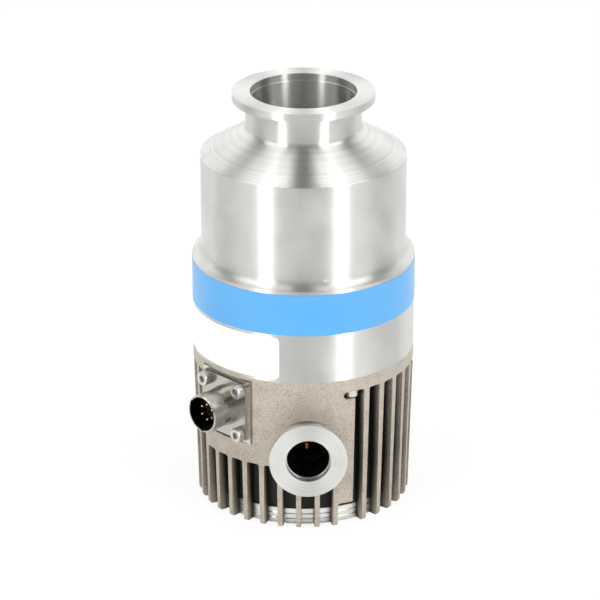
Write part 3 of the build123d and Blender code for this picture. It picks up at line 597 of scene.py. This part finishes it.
@dataclass
class CapScrews:
    """Socket head screws with knurled heads, in place of the plain ones."""

    painter: Painter
    head_radius: float = 2.75
    head_height: float = 3.0
    seat_chamfer: float = 0.1
    edge: float = 0.35
    socket: float = 2.5
    socket_depth: float = 1.6
    socket_lead_in: float = 0.15
    lead_in_flare: float = 0.62
    facets: int = 48
    ridges: int = 26
    ridge: float = 0.09
    ridge_root: float = 0.3
    ridge_foot: float = 0.3
    ridge_share: float = 0.6
    ridge_sink: float = 0.02

    def head(self) -> bpy.types.Mesh:
        """One head with its seat at local Z 0 and its socket on top, joined from rings."""
        radius, top, seat = self.head_radius, self.head_height, self.seat_chamfer
        bulge = self.edge * 0.3
        profile = [(radius - seat, 0.0), (radius, seat), (radius, top - self.edge),
                   (radius - bulge, top - bulge), (radius - self.edge, top),
                   (self.socket * self.lead_in_flare, top)]
        rings = [circle_ring(r * MM, z * MM, self.facets) for r, z in profile]
        rings += [hexagon_ring(self.socket * MM, (top - depth) * MM, self.facets)
                  for depth in (self.socket_lead_in, self.socket_depth)]
        return skin("screw_head", rings)

    def knurl(self) -> bpy.types.Mesh:
        """One upright ridge of the knurling, at local X 0."""
        half = math.pi * self.head_radius / self.ridges * self.ridge_share
        root = self.ridge_root
        low, high = self.ridge_foot, self.head_height - self.edge - self.seat_chamfer
        section = [(-root, -half), (0.0, -half), (self.ridge, 0.0), (0.0, half), (-root, half)]
        rings = [[(x * MM, y * MM, z * MM) for x, y in section] for z in (low, high)]
        return skin("knurl_ridge", rings)

    def build(self, name: str, place: Matrix, count: int, circle: float, start: float, step: float,
              stands_for: str) -> bpy.types.Object:
        """Make a set of screws on a circle and let it stand for the CAD ones.

        Args:
            name: The piece's name.
            place: Frame of the screws' circle, heads towards local Z.
            count: How many screws.
            circle: Radius of their circle in mm.
            start: Angle of the first screw in degrees.
            step: Angle between screws in degrees.
            stands_for: The CAD node that is replaced.

        Returns:
            The screws as one piece.
        """
        steel = self.painter.material(STAINLESS)
        ridges = repeat_on_circle("knurling", self.knurl(), steel, self.ridges,
                                  (self.head_radius - self.ridge_sink) * MM, 0.0, 360.0 / self.ridges)
        single = self.merged([self.head(), ridges], steel)
        screws = repeat_on_circle(name, single, steel, count, circle * MM, start, step)
        screws.transform(place)
        screws.name = name
        smooth_by_angle(screws, 30)
        piece = new_object(name, screws)
        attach(piece, "pump")
        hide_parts(stands_for)
        return piece

    @staticmethod
    def merged(meshes: Sequence[bpy.types.Mesh], material: bpy.types.Material) -> bpy.types.Mesh:
        """Several meshes as one, all in one material."""
        points: list[Vector] = []
        faces: list[tuple[int, ...]] = []
        for mesh in meshes:
            shift = len(points)
            points += [vertex.co.copy() for vertex in mesh.vertices]
            faces += [tuple(shift + i for i in polygon.vertices) for polygon in mesh.polygons]
        joined = bpy.data.meshes.new("screw")
        joined.from_pydata(points, [], faces)
        joined.materials.append(material)
        return joined


@dataclass
class Contacts:
    """Gold contact pins with rounded tips, in place of the plain ones."""

    painter: Painter
    radius: float = 0.55
    circle: float = 3.2
    count: int = 6
    insert_reach: float = 47.3
    tip_reach: float = 52.9
    root: float = 1.0
    facets: int = 24

    def build(self) -> bpy.types.Object:
        """Make the pins and let them stand for the CAD ones."""
        length = self.tip_reach - self.insert_reach
        shoulder = length - self.radius
        profile = [(self.radius, -self.root), (self.radius, shoulder)]
        profile += [(self.radius * math.cos(a), shoulder + self.radius * math.sin(a))
                    for a in (math.radians(degrees) for degrees in range(15, 90, 15))]
        rings = [circle_ring(r * MM, z * MM, self.facets) for r, z in profile]
        gold = self.painter.material(GOLD)
        pins = repeat_on_circle("contact_pins", skin("contact_pin", rings), gold, self.count,
                                self.circle * MM, 90.0, 360.0 / self.count)
        pins.transform(azimuth_matrix(CONNECTOR_AZIMUTH, self.insert_reach * MM, CONNECTOR_HEIGHT * MM))
        smooth_by_angle(pins, 40)
        piece = new_object("contact_pins", pins)
        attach(piece, "pump")
        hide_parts("connector_pins")
        return piece


@dataclass
class PurgeFitting:
    """Small brass fitting that hangs from the purge nozzle into the exhaust passage."""

    painter: Painter
    reach: float = 36.0
    root: float = 41.5
    shoulder: float = 34.4
    tip: float = 32.2
    tube_radius: float = 0.7
    tip_radius: float = 1.5
    bore_radius: float = 0.6
    facets: int = 24

    def build(self) -> bpy.types.Object:
        """Make the fitting, as a tube with a wider tip."""
        profile = [(self.tube_radius, self.root), (self.tube_radius, self.shoulder),
                   (self.tip_radius, self.shoulder), (self.tip_radius, self.tip),
                   (self.bore_radius, self.tip), (self.bore_radius, self.shoulder)]
        rings = [circle_ring(r * MM, z * MM, self.facets) for r, z in reversed(profile)]
        mesh = skin("purge_fitting", rings)
        mesh.transform(Matrix.Translation((0.0, -self.reach * MM, 0.0)))
        mesh.materials.append(self.painter.material(BRASS))
        smooth_by_angle(mesh, 40)
        piece = new_object("purge_fitting", mesh)
        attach(piece, "pump")
        return piece


class Dresser:
    """Gives every CAD node its finish."""

    FINISHES: dict[str, Finish] = {
        "casing": TURNED_ALUMINIUM, "base_housing": CAST_ALUMINIUM, "bottom_cover": COVER_ALUMINIUM,
        "exhaust_port": PORT_ALUMINIUM, "rotor": ROTOR_ALUMINIUM, "connector_shell": SHELL_NICKEL,
        "connector_gasket": NICKEL, "connector_insert": MOULDED, "connector_pins": GOLD,
        "purge_nozzle": BRASS, "motor_windings": COPPER, "bearing_cartridge": STATOR_ALUMINIUM,
        "lower_bearing_carrier": STATOR_ALUMINIUM, "upper_bearing_retainer": STATOR_ALUMINIUM,
    }
    FAMILIES: dict[str, Finish] = {
        "stator": STATOR_ALUMINIUM, "spacer": STATOR_ALUMINIUM, "screws": STAINLESS, "washer": STAINLESS,
        "rotor_nut": STAINLESS, "seal": RUBBER, "damper": RUBBER, "cage": PHENOLIC,
    }

    def __init__(self, painter: Painter) -> None:
        """Keep the painter that makes the materials."""
        self.painter = painter

    def finish_for(self, name: str) -> Finish:
        """Finish of a CAD node, by its own name or by its family."""
        if name in self.FINISHES:
            return self.FINISHES[name]
        for word, finish in self.FAMILIES.items():
            if word in name:
                return finish
        return GROUND_STEEL

    def dress(self, nodes: dict[str, bpy.types.Object]) -> None:
        """Put a finish on every node."""
        for name, item in nodes.items():
            material = self.painter.material(self.finish_for(name))
            item.data.materials.clear()
            item.data.materials.append(material)
            LOG.info("%s: %s", name, material.name)


# ---- Studio ----

@dataclass(frozen=True)
class Lamp:
    """One soft rectangular lamp: where it stands from the pump, its size in metres and its power.

    The azimuth counts from the camera's side and the elevation from the horizon, both in degrees.
    """

    name: str
    azimuth: float
    elevation: float
    distance: float
    size: tuple[float, float]
    power: float


# An upright strip, a raised panel and a narrow lamp overhead, on each side of the camera
LAMPS = (
    Lamp("left_strip", -41.0, 12.0, 1.1, (0.16, 1.3), 7.0),
    Lamp("right_strip", 41.0, 12.0, 1.1, (0.16, 1.3), 7.5),
    Lamp("left_panel", -75.0, 50.0, 1.3, (0.5, 0.9), 5.0),
    Lamp("right_panel", 75.0, 50.0, 1.3, (0.5, 0.9), 5.5),
    Lamp("left_overhead", -90.0, 78.5, 1.15, (1.1, 0.06), 2.1),
    Lamp("right_overhead", 90.0, 78.5, 1.15, (1.1, 0.06), 2.1),
)


@dataclass
class Studio:
    """Camera, lights, floor and background."""

    distance: float = 1.300
    pitch: float = 22.73
    azimuth: float = -2.0
    aim_height: float = 0.0788
    aside: float = -0.00134
    lens: float = 199.0
    sensor: float = 36.0
    near_clip: float = 0.05
    ambient_light: float = 0.62
    dim_half_width: float = 0.3
    dim_fade: float = 0.12
    wall_top: float = 0.6
    ceiling_start: float = 0.8
    back_start: float = 0.3
    back_end: float = 0.5
    overhead_light: float = 0.1
    front_light: float = 0.36
    side_light: float = 0.37
    back_light: float = 1.45
    floor_half: float = 3.0
    floor_glow: float = 0.84

    @staticmethod
    def direction(azimuth: float, elevation: float) -> Vector:
        """Unit vector from the pump towards an azimuth and elevation in degrees."""
        a, e = math.radians(azimuth), math.radians(elevation)
        return Vector((math.sin(a) * math.cos(e), -math.cos(a) * math.cos(e), math.sin(e)))

    def camera(self) -> None:
        """Make the camera and frame the pump."""
        data = bpy.data.cameras.new("camera")
        data.lens = self.lens
        data.sensor_width = self.sensor
        data.clip_start = self.near_clip
        item = bpy.data.objects.new("camera", data)
        bpy.context.scene.collection.objects.link(item)
        outward = self.direction(self.azimuth, self.pitch)
        item.rotation_euler = outward.to_track_quat("Z", "Y").to_euler()
        right = self.direction(self.azimuth + 90.0, 0.0)
        item.location = Vector((0, 0, self.aim_height)) + right * self.aside + outward * self.distance
        bpy.context.scene.camera = item

    def hang(self, lamp: Lamp) -> None:
        """Put up one lamp, facing the pump."""
        data = bpy.data.lights.new(lamp.name, "AREA")
        data.shape = "RECTANGLE"
        data.size, data.size_y = lamp.size
        data.energy = lamp.power
        item = bpy.data.objects.new(lamp.name, data)
        bpy.context.scene.collection.objects.link(item)
        outward = self.direction(self.azimuth + lamp.azimuth, lamp.elevation)
        item.location = Vector((0, 0, self.aim_height)) + outward * lamp.distance
        item.rotation_euler = outward.to_track_quat("Z", "Y").to_euler()

    def world(self) -> None:
        """White background for the eye and for reflections, plain soft light for the rest."""
        world = bpy.data.worlds.new("studio")
        bpy.context.scene.world = world
        world.use_nodes = True
        tree = world.node_tree
        tree.nodes.clear()
        path = add_node(tree, "ShaderNodeLightPath")
        soft = add_node(tree, "ShaderNodeBackground",
                        inputs={"Color": STUDIO_WHITE, "Strength": self.ambient_light})
        seen = add_node(tree, "ShaderNodeBackground", inputs={"Color": STUDIO_WHITE, "Strength": 1.0})
        either = add_node(tree, "ShaderNodeMath", {
            0: path.outputs["Is Camera Ray"], 1: path.outputs["Is Transmission Ray"]}, operation="MAXIMUM")
        room = add_node(tree, "ShaderNodeBackground", {1: self.room_brightness(tree)},
                        {"Color": STUDIO_WHITE})
        lit = add_node(tree, "ShaderNodeMixShader", {0: path.outputs["Is Glossy Ray"], 1: soft.outputs[0],
                                                     2: room.outputs[0]})
        mix = add_node(tree, "ShaderNodeMixShader", {0: either.outputs[0], 1: lit.outputs[0],
                                                     2: seen.outputs[0]})
        add_node(tree, "ShaderNodeOutputWorld", {0: mix.outputs[0]})

    def room_brightness(self, tree: bpy.types.NodeTree) -> bpy.types.NodeSocket:
        """Brightness in reflections: dim behind the camera and above, bright behind the pump."""
        coords = add_node(tree, "ShaderNodeTexCoord")
        apart = add_node(tree, "ShaderNodeSeparateXYZ", {0: coords.outputs["Generated"]})
        aside = add_node(tree, "ShaderNodeMath", {0: apart.outputs[0]}, operation="ABSOLUTE")
        beside = add_node(tree, "ShaderNodeMapRange", {0: aside.outputs[0]},
                          {1: self.dim_half_width, 2: self.dim_half_width + self.dim_fade,
                           3: 0.0, 4: 1.0})
        low = add_node(tree, "ShaderNodeMapRange", {0: apart.outputs[2]},
                       {1: self.wall_top, 2: self.ceiling_start, 3: 1.0, 4: 0.0})
        wall = add_node(tree, "ShaderNodeMath", {0: beside.outputs[0], 1: low.outputs[0]},
                        operation="MULTIPLY")
        dim = add_node(tree, "ShaderNodeMapRange", {0: low.outputs[0]},
                       {3: self.overhead_light, 4: self.front_light})
        sides = add_node(tree, "ShaderNodeMapRange", {0: wall.outputs[0], 3: dim.outputs[0]},
                         {4: self.side_light})
        behind = add_node(tree, "ShaderNodeMapRange", {0: apart.outputs[1]},
                          {1: self.back_start, 2: self.back_end, 3: 0.0, 4: 1.0})
        return add_node(tree, "ShaderNodeMapRange", {0: behind.outputs[0], 3: sides.outputs[0]},
                        {4: self.back_light}).outputs[0]

    def floor(self) -> None:
        """Pale floor that stays white to the eye but keeps a soft shadow."""
        mesh = bpy.data.meshes.new("floor")
        half = self.floor_half
        mesh.from_pydata([(-half, -half, 0), (half, -half, 0), (half, half, 0), (-half, half, 0)], [],
                         [(0, 1, 2, 3)])
        material = bpy.data.materials.new("pale_floor")
        material.use_nodes = True
        tree = material.node_tree
        tree.nodes.clear()
        paper = add_node(tree, "ShaderNodeBsdfDiffuse", inputs={"Color": linear("#F2F2F2")})
        glow = add_node(tree, "ShaderNodeEmission", inputs={"Color": STUDIO_WHITE, "Strength": 1.0})
        path = add_node(tree, "ShaderNodeLightPath")
        share = add_node(tree, "ShaderNodeMath", {0: path.outputs["Is Camera Ray"]}, {1: self.floor_glow},
                         operation="MULTIPLY")
        mix = add_node(tree, "ShaderNodeMixShader", {0: share.outputs[0], 1: paper.outputs[0],
                                                     2: glow.outputs[0]})
        add_node(tree, "ShaderNodeOutputMaterial", {0: mix.outputs[0]})
        mesh.materials.append(material)
        new_object("floor", mesh)

    def build(self) -> None:
        """Set up the whole studio."""
        self.camera()
        for lamp in LAMPS:
            self.hang(lamp)
        self.world()
        self.floor()
        bpy.context.scene.view_settings.view_transform = "Standard"


def main() -> None:
    """Build the dressed pump in its studio."""
    logging.basicConfig(level=logging.INFO)
    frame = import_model()
    Studio().build()
    painter = Painter()
    Dresser(painter).dress(frame["nodes"])
    pieces = FoilBand(painter).build()
    seat = azimuth_matrix(CONNECTOR_AZIMUTH, FLANGE_SCREW_REACH * MM, CONNECTOR_HEIGHT * MM)
    pieces.append(CapScrews(painter).build(
        "connector_cap_screws", seat, FLANGE_SCREW_COUNT, FLANGE_SCREW_PITCH / math.sqrt(2), 45.0,
        360.0 / FLANGE_SCREW_COUNT, "connector_screws"))
    pieces.append(Contacts(painter).build())
    pieces.append(PurgeFitting(painter).build())
    for piece in pieces:
        LOG.info("piece %s: %d faces", piece.name, len(piece.data.polygons))


if __name__ == "__main__":
    main()
